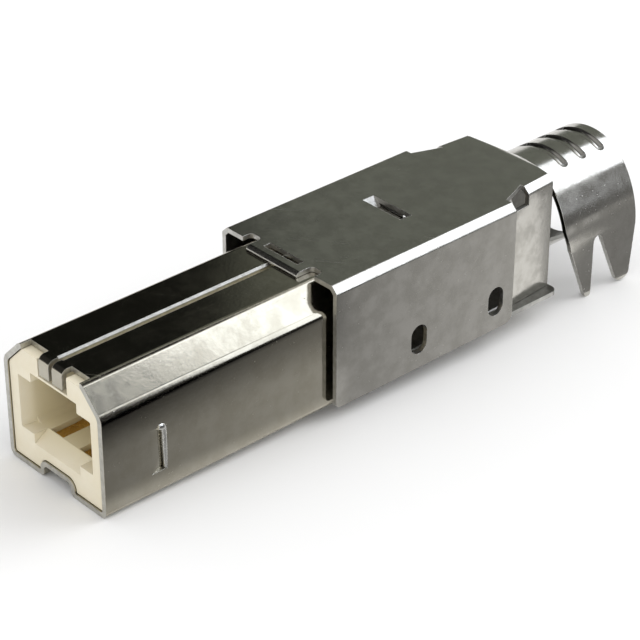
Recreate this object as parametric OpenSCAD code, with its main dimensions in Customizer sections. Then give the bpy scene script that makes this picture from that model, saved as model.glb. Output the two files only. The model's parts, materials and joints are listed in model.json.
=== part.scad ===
// Solder-type USB-B cable plug: a folded mating shell, a moulded insulator with four contacts,
// and a two-part rear cover whose upper half ends in an open crimp barrel.
// The mating face lies in the XZ plane at the origin, the cable leaves along +Y, and +Z is up.

/* [Mating shell] */
// Outer width of the folded shell
shell_w = 8.45; // [8.2:0.05:8.8]
// Outer height of the folded shell
shell_h = 7.78; // [7.5:0.02:8.1]
// Length of the shell behind its mating face
shell_len = 18.2; // [17.6:0.1:19.5]
// Sheet thickness of the shell
shell_t = 0.32; // [0.26:0.01:0.36]
// Leg of the bevel on each upper corner
bevel = 1.5; // [1.3:0.05:1.8]
// Outer bend radius at the lower corners
foot_r = 0.5; // [0.45:0.05:0.8]
// Outer bend radius between bevel and side
bevel_side_r = 0.9; // [0.6:0.05:1.1]
// Outer bend radius between bevel and top
bevel_top_r = 0.5; // [0.45:0.05:0.8]
// Width of the keying groove along the underside
groove_w = 2.4; // [2.2:0.1:3]
// Depth of the keying groove
groove_d = 0.74; // [0.7:0.02:0.9]
// Outer bend radius in the groove's corners
groove_r = 0.3; // [0.2:0.02:0.32]
// Width of the open seam along the top
seam_w = 0.3; // [0.2:0.05:0.5]
// Leg of the bevel on both edges of the seam
seam_bevel = 0.12; // [0.06:0.02:0.2]

/* [Shell front and lances] */
// Width of each lip turned down at the front edge
lip_w = 0.85; // [0.6:0.05:1]
// Drop of each lip below the top face
lip_h = 1.2; // [0.8:0.05:1.25]
// Outer bend radius of the lips
lip_r = 0.42; // [0.38:0.02:0.5]
// Depth of the relief notch beside each lip
relief_d = 0.7; // [0.55:0.05:0.9]
// Width of the relief notch beside each lip
relief_w = 1.55; // [1:0.05:1.7]
// Distance of the side lances from the mating face
lance_y = 3.1; // [2:0.05:5]
// Length of the window that each side lance leaves
lance_len = 1.1; // [0.9:0.05:2]
// Height of the side lances
lance_h = 2.75; // [2:0.05:3]
// Height of the side lances' middle
lance_z = -1.05; // [-1.3:0.05:0]
// Depth that each side lance is pushed in
lance_in = 0.3; // [0.15:0.05:0.35]
// Part of the window that each lance's tongue covers
lance_cover = 0.95; // [0.6:0.05:0.95]

/* [Insulator] */
// Distance of the moulded face behind the shell's edge
face_in = 0.1; // [0.05:0.05:0.2]
// Clearance between moulding and shell
mould_gap = 0.04; // [0.02:0.01:0.06]
// Width of the mating cavity
cavity_w = 5.83; // [5.6:0.01:6]
// Height of the mating cavity
cavity_h = 3.3; // [3.2:0.02:3.4]
// Height of the cavity's middle
cavity_z = 0.06; // [-0.1:0.02:0.1]
// Depth of the mating cavity
cavity_d = 9; // [8:0.1:10]
// Corner radius of the mating cavity
cavity_r = 0.4; // [0.1:0.05:0.6]
// Widening of the cavity's mouth to each side
lead_w = 0.22; // [0.1:0.02:0.4]
// Depth of the lead-in
lead_d = 0.9; // [0.5:0.05:1]
// Width of the throats that lead in over the contacts
throat_w = 4; // [3.8:0.1:4.4]
// Height of the throats at the mating face
throat_h = 0.6; // [0.4:0.02:0.62]
// Width of the recess that takes the lips
recess_w = 2.5; // [2.4:0.05:3]
// Depth of the recess that takes the lips
recess_d = 1; // [0.8:0.05:1.1]
// Wall between recess and throat
recess_wall = 0.14; // [0.1:0.02:0.2]
// Length of the rear flange
flange_len = 3.4; // [2:0.1:5]

/* [Contacts] */
// Spacing of neighbouring contacts
contact_pitch = 2.5; // [2.3:0.05:2.7]
// Width of each contact
contact_w = 1; // [0.8:0.05:1.1]
// Thickness of the contact strip
contact_t = 0.25; // [0.2:0.01:0.3]
// Clearance around each contact in its slot
contact_gap = 0.05; // [0.03:0.01:0.08]
// Distance of the contact tips from the mating face
contact_tip_y = 1.3; // [1.25:0.05:1.8]
// Height of the contact spring above its cavity wall
spring_h = 0.4; // [0.2:0.05:0.5]
// Distance of the spring's start from the contact's tip
spring_y = 1.3; // [0.8:0.1:2]
// Length of the contact spring
spring_len = 5.4; // [4:0.1:6]
// Depth of the contact strip's face below its cavity wall
strip_d = 0.3; // [0.2:0.02:0.32]
// Depth of the spring channel below its cavity wall
channel_d = 0.62; // [0.6:0.02:0.68]
// Length of the contact tail behind the flange
tail_len = 4.6; // [3.5:0.1:5]
// Length of the solder cup on the tail
cup_len = 2.6; // [1.5:0.1:3]
// Outer radius of the solder cup
cup_r = 0.55; // [0.5:0.05:0.7]

/* [Rear covers] */
// Sheet thickness of both covers
cover_t = 0.3; // [0.24:0.01:0.34]
// Clearance between the shell's sides and the upper cover
cover_play = 0.29; // [0.2:0.01:0.5]
// Distance of the upper cover's front edge from the mating face
cover_y = 15.75; // [15:0.05:16]
// Length of the side plates
side_len = 14.1; // [13:0.1:15]
// Height of the side plates' lower edge above the shell's underside
side_lift = 0.3; // [0.1:0.02:0.4]
// Leg of the bevel along the upper cover's edges
edge_leg = 0.42; // [0.3:0.02:0.6]
// Outer bend radius on both sides of that bevel
edge_r = 0.2; // [0.1:0.02:0.3]
// Outer bend radius of the lower cover
cover_r = 0.5; // [0.4:0.05:0.7]
// Clearance between the covers and what they hold
cover_gap = 0.02; // [0.01:0.01:0.05]
// Corner radius at the front of the side plates
front_corner_r = 0.3; // [0.1:0.05:0.6]
// Corner radius at the rear of the side plates
rear_corner_r = 0.55; // [0.1:0.05:1]

/* [Upper cover details] */
// Width of the tab that rests on the shell
tab_w = 4.2; // [3.5:0.1:5]
// Length of the tab in front of the cover's edge
tab_d = 0.55; // [0.35:0.05:0.8]
// Radius of the tab's rounded front edge
tab_r = 0.3; // [0.15:0.05:0.35]
// Width of the relief notch beside the tab
tab_relief_w = 0.9; // [0.4:0.05:1]
// Depth of the relief notch beside the tab
tab_relief_d = 0.65; // [0.4:0.05:1.2]
// Length of the slot behind the tab
tab_slot_len = 2.8; // [1.5:0.1:3.2]
// Width of the slot behind the tab
tab_slot_w = 0.5; // [0.3:0.05:0.7]
// Distance of the slot from the cover's edge
tab_slot_y = 0.15; // [0.1:0.05:0.4]
// Length of the bridge pressed down across the top plate
bridge_len = 3.2; // [2:0.1:4]
// Width of the pressed bridge
bridge_w = 0.85; // [0.5:0.05:1.2]
// Depth of the pressed bridge
bridge_d = 0.42; // [0.2:0.02:0.6]
// Distance of the pressed bridge from the cover's front edge
bridge_y = 8.35; // [7:0.05:10]
// Width of the windows in the side plates
window_w = 1.25; // [0.8:0.05:1.4]
// Height of the windows in the side plates
window_h = 1.9; // [1.6:0.05:2.2]
// Height of the windows' middle above the side plates' lower edge
window_rise = 1.9; // [1.4:0.05:2.5]
// Distances of the windows from the cover's front edge
window_ys = [6.4, 12.65];

/* [Neck and crimp barrel] */
// Step from the neck's walls in to the waist between the cover's rear notches
waist_in = 0.7; // [0.55:0.05:1]
// Length of the cover's rear notches
waist_len = 2; // [1.6:0.1:2.4]
// Step from the waist out to the front end of the notches
waist_flare = 0.75; // [0.4:0.05:0.9]
// Gap between the side plates and the neck's walls
wall_gap = 0.15; // [0.1:0.05:0.4]
// Drop of the neck's walls beside the notches below the cover's top
wall_drop = 1.1; // [0.8:0.05:1.4]
// Step from the side plates in to the neck's walls
neck_in = 0.9; // [0.7:0.05:1.1]
// Length of the neck
neck_len = 2.2; // [1.8:0.1:2.8]
// Angle by which each neck wall turns inwards
neck_turn = 4; // [2:0.5:6]
// Length of the blend from neck to barrel
blend_len = 1.3; // [0.9:0.1:1.6]
// Step from the neck's walls in to the blend's edges
blend_in = 0.75; // [0.6:0.05:1]
// Drop of the barrel's crown below the cover's top
crown_drop = 0.7; // [0.4:0.05:1]
// Outer radius of the barrel's crown
crown_r = 3.6; // [3.4:0.05:3.8]
// Outer radius of the barrel's flanks
flank_r = 6.3; // [5:0.1:7]
// Angle from the top at which the crown meets the flanks
crown_turn = 55; // [45:1:65]
// Length of the crimp barrel
barrel_len = 6.2; // [5.8:0.1:7]
// Drop of the claws' tips below the shell's underside
claw_drop = 1.36; // [0.8:0.02:2]
// Drop of the slot between the claws below the crown's centre
slot_drop = 1.5; // [1.2:0.05:1.6]
// Distance of the slot between the claws from the barrel's front edge
slot_y = 2.75; // [2.5:0.05:3]
// Radius at the top of the slot between the claws
slot_r = 0.38; // [0.2:0.02:0.4]
// Setback of the front claw's tip from the barrel's front edge
front_tip_y = 1.9; // [1.5:0.05:2]
// Width of the front claw's tip
front_tip_w = 0.46; // [0.4:0.02:0.7]
// Setback of the rear claw's tip from the barrel's front edge
rear_tip_y = 4.8; // [4.5:0.05:4.9]
// Width of the rear claw's tip
rear_tip_w = 1.05; // [0.8:0.05:1.3]
// Number of grip grooves across the crown
grip_count = 3; // [2:1:4]
// Spacing of the grip grooves
grip_pitch = 1.63; // [1.3:0.05:1.7]
// Distance of the first grip groove from the barrel's front edge
grip_y = 1.9; // [1:0.05:2]
// Depth of the grip grooves
grip_d = 0.14; // [0.08:0.02:0.18]
// Width of the grip grooves
grip_w = 0.7; // [0.4:0.05:0.8]
// Angle that the grip grooves span to each side of the crown
grip_span = 27; // [15:1:35]

/* [Lower cover] */
// Height of the lower cover's flanges from its underside
flange_h = 0.9; // [0.7:0.05:1.1]
// Length of the lower cover's plate behind the side plates
plate_tail = 4.35; // [4.2:0.05:4.8]
// Corner radius at the rear of the plate
plate_r = 0.5; // [0.3:0.05:1]
// Width of the tongue's root
tongue_w = 3; // [2.5:0.1:3.6]
// Length of the tongue's ramp
ramp_len = 1; // [0.8:0.1:1.4]
// Outer radius of the trough that carries the cable
trough_r = 3; // [2.8:0.05:3.1]
// Height of the trough's underside above the plate's underside
trough_rise = 0.8; // [0.6:0.05:1]
// Length of the trough
trough_len = 3.2; // [2:0.1:3.5]
// Height of the trough's sides at its front
trough_front_h = 1.7; // [1.2:0.05:1.9]
// Height of the trough's sides at its rear
trough_rear_h = 0.9; // [0.6:0.05:1.4]

/* [Hidden] */
$fn = 64;

// Overshoot of cutting shapes past the faces that they cut
past = 1;
// Depth by which joined shapes share material
weld = 0.05;
// Smallest bend radius that is still drawn
least_r = 0.05;

shell_top = shell_h / 2;
shell_side = shell_w / 2;
mould_in = shell_t + mould_gap;
face_y = face_in;

cavity_half = cavity_h / 2;
recess_floor = cavity_z + cavity_half + throat_h + recess_wall;

flange_y = shell_len + cover_gap;
flange_end = flange_y + flange_len;
strip_sink = strip_d + contact_t / 2;

cover_top = shell_top + cover_gap + cover_t;
cover_side = shell_side + cover_play + cover_t;
cover_under = cover_top - cover_t;
side_bottom = -shell_top + side_lift;
side_end = cover_y + side_len;
neck_y = side_end + waist_len;
neck_end = neck_y + neck_len;
neck_side = cover_side - neck_in;
waist_w = 2 * (neck_side - waist_in);
blend_w = 2 * (neck_side - blend_in);
barrel_y = neck_end + blend_len;
barrel_end = barrel_y + barrel_len;
crown_z = cover_top - crown_drop - crown_r;
flank_off = (flank_r - crown_r) * [sin(crown_turn), cos(crown_turn)];
flank_z = crown_z - flank_off[1];
barrel_side = flank_r - flank_off[0];
claw_tip = -shell_top - claw_drop;
slot_z = crown_z - slot_drop;

plate_under = side_bottom;
plate_top = plate_under + cover_t;
plate_side = cover_side - cover_t - cover_gap;
plate_y = flange_y + cover_gap;
flange_side = plate_side - cover_t - cover_gap;
plate_end = side_end + plate_tail;
wall_bottom = plate_top + cover_gap;

function unit(v) = v / norm(v);

// Convex outline with each corner rounded by its own radius
module rounded_outline(points, radii) {
    n = len(points);
    back = [for (i = [0:n - 1]) unit(points[(i + n - 1) % n] - points[i])];
    ahead = [for (i = [0:n - 1]) unit(points[(i + 1) % n] - points[i])];
    half = [for (i = [0:n - 1]) acos(back[i] * ahead[i]) / 2];
    polygon([for (i = [0:n - 1], way = [back[i], ahead[i]])
        points[i] + way * radii[i] / tan(half[i])]);
    for (i = [0:n - 1])
        if (radii[i] > 0)
            translate(points[i] + unit(back[i] + ahead[i]) * radii[i] / sin(half[i]))
                circle(radii[i]);
}

// Extrudes a section drawn in X and Z from one Y to another
module along_y(from, to) {
    translate([0, to, 0])
        rotate([90, 0, 0])
            linear_extrude(to - from)
                children();
}

// Extrudes a section drawn in Y and Z from one X to another
module along_x(from, to) {
    translate([from, 0, 0])
        rotate([90, 0, 90])
            linear_extrude(to - from)
                children();
}

// The children and their mirror image across the plug's middle plane
module both_sides() {
    children();
    mirror([1, 0, 0])
        children();
}

// Keying groove as seen from a surface that lies this deep below the shell's outside
module groove_section(depth) {
    side = groove_w / 2 + depth;
    floor_z = -shell_top + depth;
    ceiling = -shell_top + groove_d + depth;
    corner = groove_r + depth;
    flare = max(least_r, groove_r - depth);
    rounded_outline(
        [[-side, floor_z - past], [side, floor_z - past], [side, ceiling], [-side, ceiling]],
        [0, 0, corner, corner]);
    for (s = [-1, 1])
        difference() {
            translate([s * (side + flare / 2), floor_z + flare / 2 - past / 2])
                square([flare, flare + past], center = true);
            translate([s * (side + flare), floor_z + flare])
                circle(flare);
        }
}

// Shell section at this depth below its outside: bevelled upper corners and keying groove
module shell_section(depth) {
    side = shell_side - depth;
    top = shell_top - depth;
    leg = bevel - depth * (2 - sqrt(2));
    foot = max(least_r, foot_r - depth);
    low = max(least_r, bevel_side_r - depth);
    high = max(least_r, bevel_top_r - depth);
    difference() {
        rounded_outline(
            [[side, -top], [side, top - leg], [side - leg, top],
             [leg - side, top], [-side, top - leg], [-side, -top]],
            [foot, low, high, high, low, foot]);
        groove_section(depth);
    }
}

// Section of one lip: the top sheet turns down at the front edge
module lip_section() {
    difference() {
        rounded_outline(
            [[0, shell_top - lip_h], [relief_d + weld, shell_top - lip_h],
             [relief_d + weld, shell_top], [0, shell_top]],
            [0, 0, 0, lip_r]);
        rounded_outline(
            [[shell_t, shell_top - lip_h - past], [relief_d + past, shell_top - lip_h - past],
             [relief_d + past, shell_top - shell_t], [shell_t, shell_top - shell_t]],
            [0, 0, 0, lip_r - shell_t]);
    }
}

// Tongue of a side lance, sheared at the rear and pushed in
module lance_tongue() {
    tip_y = lance_y + lance_len * lance_cover;
    translate([0, 0, lance_z - lance_h / 2])
        linear_extrude(lance_h)
            polygon([[shell_side, lance_y], [shell_side - lance_in, tip_y],
                     [shell_side - lance_in - shell_t, tip_y], [shell_side - shell_t, lance_y]]);
}

// Space behind a side lance, as deep as asked from the shell's outside, with play around it
module lance_window(depth, play) {
    translate([shell_side - depth, lance_y - play, lance_z - lance_h / 2 - play])
        cube([depth + past, lance_len + 2 * play, lance_h + 2 * play]);
}

// Bevels on the edges of the seam, behind the lips
module seam_bevels() {
    half = seam_w / 2;
    wide = half + seam_bevel + past;
    along_y(relief_d, shell_len + past)
        polygon([[-half, shell_top - seam_bevel], [half, shell_top - seam_bevel],
                 [wide, shell_top + past], [-wide, shell_top + past]]);
}

module front_shell() {
    cut_w = seam_w / 2 + lip_w + relief_w;
    color("silver")
        difference() {
            union() {
                difference() {
                    along_y(0, shell_len)
                        difference() {
                            shell_section(0);
                            shell_section(shell_t);
                        }
                    translate([-seam_w / 2, -past, shell_top - shell_t - past])
                        cube([seam_w, shell_len + 2 * past, shell_t + 2 * past]);
                    translate([-cut_w, -past, shell_top - shell_t - past])
                        cube([2 * cut_w, relief_d + past, shell_t + 2 * past]);
                    both_sides()
                        lance_window(shell_t + past, 0);
                }
                both_sides() {
                    along_x(seam_w / 2, seam_w / 2 + lip_w)
                        lip_section();
                    lance_tongue();
                }
            }
            seam_bevels();
        }
}

// Outline of the mating cavity, widened to each side by this much
module cavity_section(grow) {
    side = cavity_w / 2 + grow;
    rounded_outline(
        [[-side, cavity_z - cavity_half], [side, cavity_z - cavity_half],
         [side, cavity_z + cavity_half], [-side, cavity_z + cavity_half]],
        [cavity_r, cavity_r, cavity_r, cavity_r]);
}

// Mating cavity with a lead-in to each side and throats that slope in over the contacts
module mating_cavity() {
    lead_end = face_y + lead_d;
    spread = past / lead_d;
    low = cavity_z - cavity_half;
    high = cavity_z + cavity_half;
    along_y(face_y, face_y + cavity_d)
        cavity_section(0);
    intersection() {
        along_y(face_y - past, lead_end)
            cavity_section(lead_w * (1 + spread));
        linear_extrude(2 * shell_h, center = true)
            polygon([[-cavity_w / 2 - lead_w * (1 + spread), face_y - past],
                     [cavity_w / 2 + lead_w * (1 + spread), face_y - past],
                     [cavity_w / 2, lead_end], [-cavity_w / 2, lead_end]]);
    }
    along_x(-throat_w / 2, throat_w / 2)
        polygon([[face_y - past, low - throat_h * (1 + spread)],
                 [face_y - past, high + throat_h * (1 + spread)],
                 [lead_end, high], [lead_end, low]]);
}

// Places a lower contact's shape at each of the four contact seats
module at_contacts() {
    for (x = [-1, 1] * contact_pitch / 2)
        for (flip = [0, 1])
            translate([x, 0, cavity_z])
                mirror([0, 0, flip])
                    children();
}

// Channel under a lower contact's spring and the slot that holds its strip
module contact_space() {
    slot = contact_w + 2 * contact_gap;
    slot_h = contact_t + 2 * contact_gap;
    translate([-slot / 2, contact_tip_y - 0.25, -cavity_half - channel_d])
        cube([slot, face_y + cavity_d - contact_tip_y + 0.25, channel_d + weld]);
    translate([-slot / 2, cavity_d - past, -cavity_half - strip_sink - slot_h / 2])
        cube([slot, flange_end + past, slot_h]);
}

module insulator() {
    color("ivory")
        difference() {
            union() {
                along_y(face_y, flange_y)
                    shell_section(mould_in);
                along_y(flange_y, flange_end)
                    rounded_outline(
                        [[-flange_side, plate_top + cover_gap], [flange_side, plate_top + cover_gap],
                         [flange_side, cover_under - cover_gap], [-flange_side, cover_under - cover_gap]],
                        [foot_r, foot_r, foot_r, foot_r]);
            }
            mating_cavity();
            translate([-recess_w / 2, face_y - past, recess_floor])
                cube([recess_w, recess_d + past, shell_top]);
            both_sides()
                lance_window(shell_t + lance_in + mould_gap, mould_gap);
            at_contacts()
                contact_space();
        }
}

// One edge of a bent strip, this far to the left of its path and mitred at the bends
function strip_edge(path, shift) = [
    for (i = [0:len(path) - 1])
        let (first = i == 0,
             last = i == len(path) - 1,
             into = unit(first ? path[1] - path[0] : path[i] - path[i - 1]),
             out = unit(last ? path[i] - path[i - 1] : path[i + 1] - path[i]),
             mid = unit(into + out))
        path[i] + [-mid[1], mid[0]] * shift / (mid * into)];

// Bent strip along a path in Y and Z
module strip_section(path, thick) {
    right = strip_edge(path, -thick / 2);
    polygon(concat(strip_edge(path, thick / 2), [for (i = [len(path) - 1:-1:0]) right[i]]));
}

// Lower contact about the middle of its seat: spring, strip and solder cup
module contact_form() {
    wall = -cavity_half;
    run = wall - strip_sink;
    tail_end = flange_end + tail_len;
    rise = spring_h + strip_sink - contact_t / 2;
    spring = [for (k = [0:1 / 12:1])
        [contact_tip_y + spring_y + k * spring_len, run + rise * (1 - cos(360 * k)) / 2]];
    along_x(-contact_w / 2, contact_w / 2)
        strip_section(
            concat([[contact_tip_y, run]], spring, [[tail_end - cup_len + contact_t, run]]),
            contact_t);
    along_y(tail_end - cup_len, tail_end)
        translate([0, run + cup_r - contact_t / 2 - weld])
            difference() {
                circle(cup_r);
                circle(cup_r - contact_t);
                translate([-cup_r - past, 0])
                    square([2 * (cup_r + past), cup_r + past]);
            }
}

module contact(side, flip) {
    color("goldenrod")
        translate([side * contact_pitch / 2, 0, cavity_z])
            mirror([0, 0, flip])
                contact_form();
}

module contact_upper_left() contact(-1, 1);
module contact_upper_right() contact(1, 1);
module contact_lower_left() contact(-1, 0);
module contact_lower_right() contact(1, 0);

// Outline of a folded cover at this depth below its outside, bevelled along the upper edges
module cover_outline(half_w, depth, bottom) {
    side = half_w - depth;
    top = cover_top - depth;
    leg = edge_leg - depth * (2 - sqrt(2));
    bend = max(least_r, edge_r - depth);
    rounded_outline(
        [[-side, bottom], [side, bottom], [side, top - leg],
         [side - leg, top], [leg - side, top], [-side, top - leg]],
        [0, 0, bend, bend, bend, bend]);
}

// Inverted U section of a folded cover
module cover_section(half_w, bottom) {
    difference() {
        cover_outline(half_w, 0, bottom);
        cover_outline(half_w, cover_t, bottom - past);
    }
}

// Top and side plates with rounded lower corners
module cover_box() {
    intersection() {
        along_y(cover_y, side_end)
            cover_section(cover_side, side_bottom);
        along_x(-cover_side - past, cover_side + past)
            rounded_outline(
                [[cover_y, side_bottom], [side_end, side_bottom],
                 [side_end, cover_top + past], [cover_y, cover_top + past]],
                [front_corner_r, rear_corner_r, 0, 0]);
    }
}

// Tab in front of the top plate, rounded over where it rests on the shell
module cover_tab() {
    reach = tab_d + tab_relief_d;
    along_x(-tab_w / 2, tab_w / 2)
        intersection() {
            translate([cover_y - tab_d, cover_under])
                square([reach, cover_t]);
            rounded_outline(
                [[cover_y - tab_d, cover_under - past], [cover_y + reach, cover_under - past],
                 [cover_y + reach, cover_top], [cover_y - tab_d, cover_top]],
                [0, 0, 0, tab_r]);
        }
}

// Relief notches beside the tab, the slot behind it and the bridge's opening
module top_plate_cuts() {
    near = tab_w / 2;
    far = near + tab_relief_w;
    back = cover_y + tab_relief_d;
    corner = 0.4 * min(tab_relief_w, tab_relief_d);
    both_sides()
        translate([0, 0, cover_under - past])
            linear_extrude(cover_t + 2 * past)
                rounded_outline(
                    [[near, cover_y - past], [far, cover_y - past], [far, back], [near, back]],
                    [0, 0, corner, corner]);
    translate([-tab_slot_len / 2, cover_y + tab_slot_y, cover_under - past])
        cube([tab_slot_len, tab_slot_w, cover_t + 2 * past]);
    translate([-bridge_len / 2, cover_y + bridge_y - bridge_w / 2, cover_under - past])
        cube([bridge_len, bridge_w, cover_t + 2 * past]);
}

// Strip pressed down across the top plate, sloping at both ends
module pressed_bridge() {
    end = bridge_len / 2;
    flat = end - 1.6 * bridge_d;
    along_y(cover_y + bridge_y - bridge_w / 2, cover_y + bridge_y + bridge_w / 2)
        polygon([[-end, cover_top], [-flat, cover_top - bridge_d], [flat, cover_top - bridge_d],
                 [end, cover_top], [end, cover_under], [flat, cover_under - bridge_d],
                 [-flat, cover_under - bridge_d], [-end, cover_under]]);
}

// Upright windows with round ends, through both side plates
module side_windows() {
    half = window_h / 2 - window_w / 2;
    for (y = window_ys)
        along_x(-cover_side - past, cover_side + past)
            translate([cover_y + y, side_bottom + window_rise]) {
                square([window_w, 2 * half], center = true);
                for (z = [-half, half])
                    translate([0, z])
                        circle(d = window_w);
            }
}

// One wall of the neck with its share of the top plate, turned inwards and low beside the notch
module neck_wall() {
    translate([neck_side, neck_y, 0])
        rotate([0, 0, neck_turn])
            translate([-neck_side, -neck_y, 0]) {
                along_y(neck_y, neck_end)
                    intersection() {
                        cover_section(neck_side, wall_bottom);
                        translate([neck_side / 2, wall_bottom])
                            square([neck_side, cover_top - wall_bottom + past]);
                    }
                translate([neck_side - cover_t, side_end + wall_gap, wall_bottom])
                    cube([cover_t, waist_len - wall_gap + weld, cover_top - wall_drop - wall_bottom]);
            }
}

// Flat plate from the cover's top to the blend, narrowed between the notches
module neck_plate() {
    side = waist_w / 2;
    translate([0, 0, cover_under])
        linear_extrude(cover_t)
            polygon([[-side - waist_flare, side_end - weld], [side + waist_flare, side_end - weld],
                     [side + waist_flare, side_end], [side, neck_y], [side, neck_end],
                     [-side, neck_end], [-side, neck_y], [-side - waist_flare, side_end]]);
}

// Height at which the crown meets the flanks, this far inside its outer face
function join_z(inset) = crown_z + (crown_r - inset) * cos(crown_turn);

// Cap of the crown above the flanks, this far inside its outer face
module crown_cap(inset) {
    intersection() {
        translate([0, crown_z])
            circle(crown_r - inset);
        translate([-crown_r, join_z(inset)])
            square(2 * crown_r);
    }
}

// Arch of the barrel, this far inside its outer face: crown, flatter flanks and straight legs
module arch_section(inset, bottom) {
    side = barrel_side - inset;
    crown_cap(inset);
    intersection() {
        polygon([[-side, flank_z], [side, flank_z], [side, join_z(inset)], [-side, join_z(inset)]]);
        translate([-flank_off[0], flank_z])
            circle(flank_r - inset);
        translate([flank_off[0], flank_z])
            circle(flank_r - inset);
    }
    polygon([[-side, bottom], [side, bottom], [side, flank_z], [-side, flank_z]]);
}

// Sheet that blends from the flat neck to the round crown
module crown_blend() {
    difference() {
        hull() {
            translate([-blend_w / 2, neck_end - weld, cover_under])
                cube([blend_w, weld, cover_t]);
            along_y(barrel_y, barrel_y + weld)
                crown_cap(0);
        }
        hull() {
            translate([-2 * neck_side, neck_end - 2 * weld, cover_under - neck_side])
                cube([4 * neck_side, weld, neck_side]);
            along_y(barrel_y + weld, barrel_y + 2 * weld)
                translate([0, crown_z])
                    circle(crown_r - cover_t);
        }
    }
}

// Side view of the barrel: flank, slot and the two claws
module barrel_outline() {
    mid = barrel_y + slot_y;
    root = barrel_y + slot_drop * 0.25;
    difference() {
        translate([barrel_y, slot_z])
            square([barrel_len, cover_top - slot_z]);
        translate([mid, slot_z])
            circle(slot_r);
        polygon([[barrel_y - past, slot_z - past], [barrel_y - past, crown_z],
                 [barrel_y, crown_z], [root, slot_z], [root, slot_z - past]]);
    }
    rounded_outline(
        [[root, slot_z + weld], [barrel_y + front_tip_y, claw_tip],
         [barrel_y + front_tip_y + front_tip_w, claw_tip], [mid - slot_r, slot_z + weld]],
        [0, front_tip_w * 0.45, front_tip_w * 0.45, 0]);
    rounded_outline(
        [[mid + slot_r, slot_z + weld], [barrel_y + rear_tip_y, claw_tip],
         [barrel_y + rear_tip_y + rear_tip_w, claw_tip], [barrel_end, slot_z + weld]],
        [0, rear_tip_w * 0.48, rear_tip_w * 0.48, 0]);
}

// Grip groove pressed across the crown, with round ends
module grip_groove() {
    ring = (grip_w * grip_w / 4 + grip_d * grip_d) / (2 * grip_d);
    reach = crown_r + ring - grip_d;
    grip_step = grip_d / 8;
    translate([0, 0, crown_z])
        rotate([90, 0, 0])
            rotate([0, 0, 90 - grip_span]) {
                rotate_extrude(angle = 2 * grip_span)
                    translate([reach, 0])
                        circle(ring);
                for (turn = [0, 2 * grip_span])
                    rotate([0, 0, turn])
                        translate([reach, 0, 0])
                            sphere(ring - grip_step);
            }
}

module crimp_barrel() {
    difference() {
        intersection() {
            along_y(barrel_y, barrel_end)
                difference() {
                    arch_section(0, claw_tip);
                    arch_section(cover_t, claw_tip - past);
                }
            along_x(-barrel_side - past, barrel_side + past)
                barrel_outline();
        }
        for (i = [0:grip_count - 1])
            translate([0, barrel_y + grip_y + i * grip_pitch, 0])
                grip_groove();
    }
}

module upper_cover() {
    color("lightgray") {
        difference() {
            union() {
                cover_box();
                cover_tab();
            }
            top_plate_cuts();
            side_windows();
        }
        pressed_bridge();
        neck_plate();
        both_sides()
            neck_wall();
        crown_blend();
        crimp_barrel();
    }
}

// Plate with low flanges that slides between the upper cover's side plates
module plate_section() {
    difference() {
        rounded_outline(
            [[-plate_side, plate_under], [plate_side, plate_under],
             [plate_side, plate_under + flange_h], [-plate_side, plate_under + flange_h]],
            [cover_r, cover_r, 0, 0]);
        rounded_outline(
            [[cover_t - plate_side, plate_top], [plate_side - cover_t, plate_top],
             [plate_side - cover_t, plate_under + flange_h + past],
             [cover_t - plate_side, plate_under + flange_h + past]],
            [cover_r - cover_t, cover_r - cover_t, 0, 0]);
    }
}

// Flat rear end of the plate, with rounded corners
module plate_rear() {
    translate([0, 0, plate_under])
        linear_extrude(cover_t)
            rounded_outline(
                [[-plate_side, side_end], [plate_side, side_end],
                 [plate_side, plate_end], [-plate_side, plate_end]],
                [plate_r, plate_r, plate_r, plate_r]);
    half = plate_side - cover_r;
    translate([-half, side_end - past, plate_under])
        cube([2 * half, 2 * past, cover_t]);
}

// Ramp from the plate up to the trough
module tongue_ramp() {
    mid = plate_under + cover_t / 2;
    along_x(-tongue_w / 2, tongue_w / 2)
        strip_section(
            [[plate_end - past, mid], [plate_end, mid], [plate_end + ramp_len, mid + trough_rise],
             [plate_end + ramp_len + past, mid + trough_rise]],
            cover_t);
}

// Round trough under the barrel that carries the cable, with sides that fall towards the rear
module cable_trough() {
    from = plate_end + ramp_len;
    to = from + trough_len;
    low = plate_under + trough_rise;
    intersection() {
        along_y(from, to)
            translate([0, low + trough_r])
                difference() {
                    circle(trough_r);
                    circle(trough_r - cover_t);
                }
        along_x(-trough_r - past, trough_r + past)
            polygon([[from - past, low - past], [to + past, low - past], [to + past, low + trough_rear_h],
                     [to, low + trough_rear_h], [from, low + trough_front_h],
                     [from - past, low + trough_front_h]]);
    }
}

module lower_cover() {
    color("gainsboro") {
        along_y(plate_y, side_end - cover_gap)
            plate_section();
        plate_rear();
        tongue_ramp();
        cable_trough();
    }
}

front_shell();
insulator();
contact_upper_left();
contact_upper_right();
contact_lower_left();
contact_lower_right();
upper_cover();
lower_cover();
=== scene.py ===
"""Studio scene for a square cable plug with solder cups and an open crimp barrel.

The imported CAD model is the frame. Every node is carried over as a refined copy of its solid, with
joined faces and smooth bends, and each side lance of the shell gets its rolled lip. All pieces have
procedural finishes, and those of the sheets and the plastic roll the edges slightly. Plain cards and
boards shape what the metal mirrors.
"""

from __future__ import annotations

import json
import logging
import math
from dataclasses import dataclass, field
from enum import Enum
from typing import Any

import bmesh
import bpy
from mathutils import Euler, Matrix, Vector

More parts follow.
